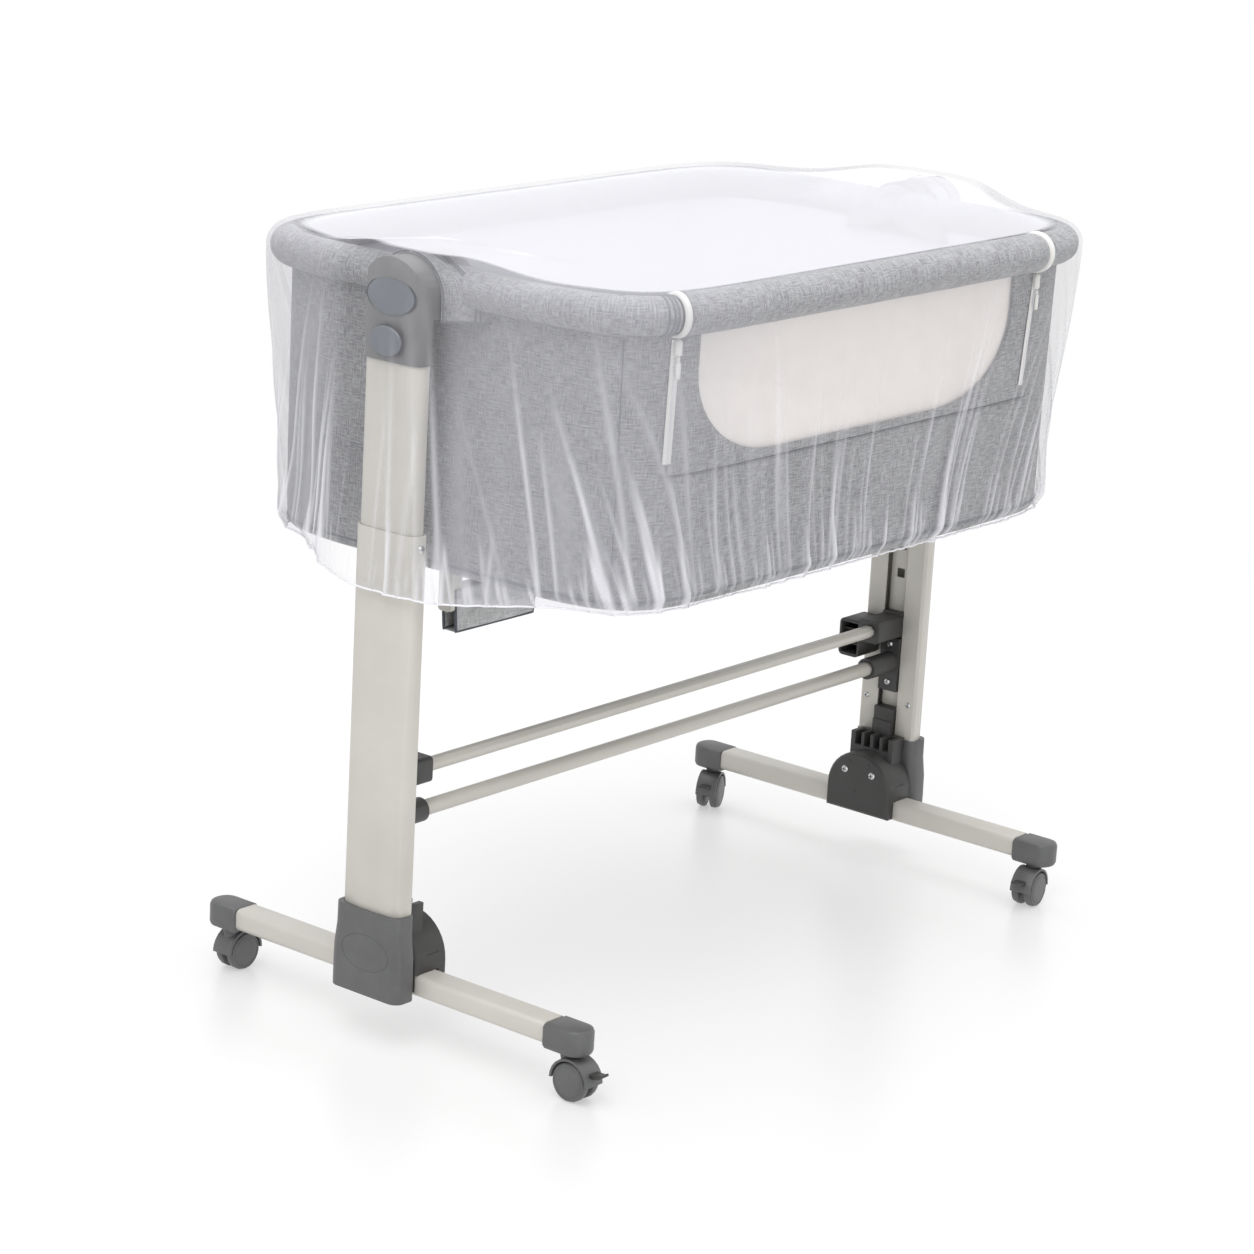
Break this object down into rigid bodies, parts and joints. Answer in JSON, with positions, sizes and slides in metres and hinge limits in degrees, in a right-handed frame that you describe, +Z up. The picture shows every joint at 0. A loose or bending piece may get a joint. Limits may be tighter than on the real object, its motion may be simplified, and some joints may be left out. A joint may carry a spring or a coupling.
{
  "type": "bassinet on stand",
  "caption": "Oval fabric bassinet with a see-through drop side and a net cover, held between height-adjustable posts on a wheeled stand.",
  "frame": {"origin": "on the floor, under the middle of the bassinet", "axes": "+Z up, +X towards the right-hand post along the bassinet's length, -Y is the front, where the side drops"},
  "size_m": [0.972, 0.58, 0.834],
  "materials": {
    "ivory_tube": "satin",
    "dark_plastic": "satin",
    "black_plastic": "satin",
    "grey_plastic": "satin",
    "badge_plastic": "satin",
    "grey_fabric": "melange weave",
    "light_mesh": "fine mesh",
    "white_fabric": "soft cover",
    "white_net": "sheer net",
    "board": "pressed board"
  },
  "bodies": {
    "stand": {"foot_tube_left": "ivory_tube", "foot_tube_right": "ivory_tube", "foot_cap_left_front": "dark_plastic", "foot_cap_left_back": "dark_plastic", "foot_cap_right_front": "dark_plastic", "foot_cap_right_back": "dark_plastic", "hub_shell_left": "dark_plastic", "hub_shell_right": "dark_plastic", "hub_cover_left": "black_plastic", "hub_cover_right": "black_plastic", "column_left": "ivory_tube", "column_right": "ivory_tube", "latch_rack_left": "ivory_tube", "latch_rack_right": "ivory_tube", "upper_bar": "ivory_tube", "lower_bar": "ivory_tube", "upper_socket_left": "black_plastic", "upper_socket_right": "black_plastic", "lower_socket_left": "black_plastic", "lower_socket_right": "black_plastic", "bar_clip": "black_plastic"},
    "left_post": {"inner_post_left": "ivory_tube", "housing_left": "grey_plastic", "badge_left": "badge_plastic"},
    "left_button": {"release_button_left": "badge_plastic"},
    "basket": {"rim_tube": "ivory_tube", "rim_pad_back": "grey_fabric", "rim_pad_left": "grey_fabric", "rim_pad_right": "grey_fabric", "basket_wall": "grey_fabric", "base_board": "board", "mattress": "white_fabric", "base_bar": "ivory_tube", "storage_sleeve": "dark_plastic"},
    "right_post": {"inner_post_right": "ivory_tube", "housing_right": "grey_plastic", "badge_right": "badge_plastic"},
    "right_button": {"release_button_right": "badge_plastic"},
    "drop_side": {"side_rail": "ivory_tube", "side_pad": "grey_fabric", "side_panel": "grey_fabric", "window_mesh": "light_mesh"},
    "net_cover": {"net": "white_net"},
    "caster_left_front": {"caster_hood_left_front": "dark_plastic"},
    "wheels_left_front": {"caster_wheels_left_front": "dark_plastic"},
    "brake_left_front": {"brake_lever_left_front": "black_plastic"},
    "caster_left_back": {"caster_hood_left_back": "dark_plastic"},
    "wheels_left_back": {"caster_wheels_left_back": "dark_plastic"},
    "brake_left_back": {"brake_lever_left_back": "black_plastic"},
    "caster_right_front": {"caster_hood_right_front": "dark_plastic"},
    "wheels_right_front": {"caster_wheels_right_front": "dark_plastic"},
    "brake_right_front": {"brake_lever_right_front": "black_plastic"},
    "caster_right_back": {"caster_hood_right_back": "dark_plastic"},
    "wheels_right_back": {"caster_wheels_right_back": "dark_plastic"},
    "brake_right_back": {"brake_lever_right_back": "black_plastic"}
  },
  "joints": [
    {"name": "height", "type": "slide", "parent": "stand", "child": "left_post", "axis": [0, 0, 1], "range_m": [-0.105, 0.035]},
    {"name": "tilt", "type": "hinge", "parent": "left_post", "child": "basket", "pos_m": [-0.405, 0, 0.798], "axis": [0, 1, 0], "range_deg": [-2.47, 2.47]},
    {"name": "right_pivot", "type": "hinge", "parent": "basket", "child": "right_post", "pos_m": [0.405, 0, 0.798], "axis": [0, 1, 0], "range_deg": [-2.47, 2.47]},
    {"name": "left_button_press", "type": "slide", "parent": "left_post", "child": "left_button", "axis": [1, 0, 0], "range_m": [0, 0.0033], "stiffness_N_per_m": 800, "springref_m": -0.002},
    {"name": "right_button_press", "type": "slide", "parent": "right_post", "child": "right_button", "axis": [-1, 0, 0], "range_m": [0, 0.0033], "stiffness_N_per_m": 800, "springref_m": -0.002},
    {"name": "side_drop", "type": "hinge", "parent": "basket", "child": "drop_side", "pos_m": [0, -0.2625, 0.6361], "axis": [1, 0, 0], "range_deg": [0, 168]},
    {"name": "net_lift", "type": "slide", "parent": "basket", "child": "net_cover", "axis": [0, 0, 1], "range_m": [0, 0.36], "deforming": ["net"]},
    {"name": "swivel_left_front", "type": "hinge", "parent": "stand", "child": "caster_left_front", "pos_m": [-0.426, -0.242, 0.045], "axis": [0, 0, 1], "continuous": true},
    {"name": "roll_left_front", "type": "hinge", "parent": "caster_left_front", "child": "wheels_left_front", "pos_m": [-0.426, -0.252, 0.021], "axis": [1, 0, 0], "continuous": true},
    {"name": "brake_left_front", "type": "hinge", "parent": "caster_left_front", "child": "brake_left_front", "pos_m": [-0.426, -0.2756, 0.0325], "axis": [1, 0, 0], "range_deg": [0, 14]},
    {"name": "swivel_left_back", "type": "hinge", "parent": "stand", "child": "caster_left_back", "pos_m": [-0.426, 0.242, 0.045], "axis": [0, 0, 1], "continuous": true},
    {"name": "roll_left_back", "type": "hinge", "parent": "caster_left_back", "child": "wheels_left_back", "pos_m": [-0.416, 0.242, 0.021], "axis": [0, 1, 0], "continuous": true},
    {"name": "brake_left_back", "type": "hinge", "parent": "caster_left_back", "child": "brake_left_back", "pos_m": [-0.3924, 0.242, 0.0325], "axis": [0, 1, 0], "range_deg": [0, 14]},
    {"name": "swivel_right_front", "type": "hinge", "parent": "stand", "child": "caster_right_front", "pos_m": [0.426, -0.242, 0.045], "axis": [0, 0, 1], "continuous": true},
    {"name": "roll_right_front", "type": "hinge", "parent": "caster_right_front", "child": "wheels_right_front", "pos_m": [0.41607, -0.24322, 0.021], "axis": [0.1219, -0.9925, 0], "continuous": true},
    {"name": "brake_right_front", "type": "hinge", "parent": "caster_right_front", "child": "brake_right_front", "pos_m": [0.39265, -0.2461, 0.0325], "axis": [0.1219, -0.9925, 0], "range_deg": [0, 14]},
    {"name": "swivel_right_back", "type": "hinge", "parent": "stand", "child": "caster_right_back", "pos_m": [0.426, 0.242, 0.045], "axis": [0, 0, 1], "continuous": true},
    {"name": "roll_right_back", "type": "hinge", "parent": "caster_right_back", "child": "wheels_right_back", "pos_m": [0.41673, 0.23825, 0.021], "axis": [0.3746, -0.9272, 0], "continuous": true},
    {"name": "brake_right_back", "type": "hinge", "parent": "caster_right_back", "child": "brake_right_back", "pos_m": [0.39485, 0.22941, 0.0325], "axis": [0.3746, -0.9272, 0], "range_deg": [0, 14]}
  ],
  "couplings": [
    {"joint": "right_pivot", "follows": "tilt", "ratio": -1}
  ]
}
